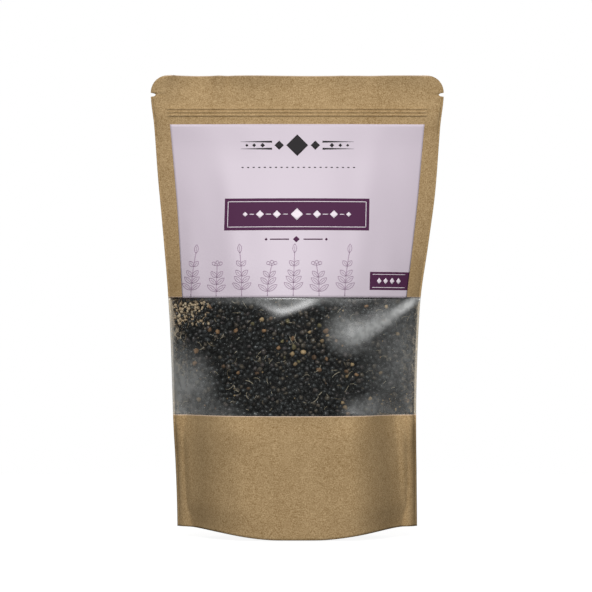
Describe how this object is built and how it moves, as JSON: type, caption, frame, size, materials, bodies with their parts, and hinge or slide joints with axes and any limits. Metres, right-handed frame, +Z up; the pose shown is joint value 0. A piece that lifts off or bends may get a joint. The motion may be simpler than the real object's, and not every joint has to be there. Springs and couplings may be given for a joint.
{
  "type": "stand-up pouch of dried elderberries",
  "caption": "Filled kraft-paper stand-up pouch with a clear window band, paper label, press-to-close track, tear notches and a folded bottom gusset that it stands on.",
  "frame": {"origin": "on the surface that the pouch stands on, at the middle of its base", "axes": "+Z up, +X to the right across the front, -Y out of the front, with the side welds in the plane Y = 0"},
  "size_m": [0.14, 0.0654, 0.22],
  "materials": {
    "kraft": "matt brown kraft paper over a plastic liner",
    "film": "clear glossy film with a soft haze",
    "label": null,
    "track": "milky polyethylene",
    "berries": "wrinkled near-black dried fruit skin"
  },
  "bodies": {
    "root": {"front_upper_kraft": "kraft", "window_film": "film", "front_lower_kraft": "kraft", "back_kraft": "kraft", "bottom_gusset": "kraft", "paper_label": "label", "zip_bead_track": "track", "zip_groove_track": "track", "dried_berries": "berries"}
  },
  "joints": []
}
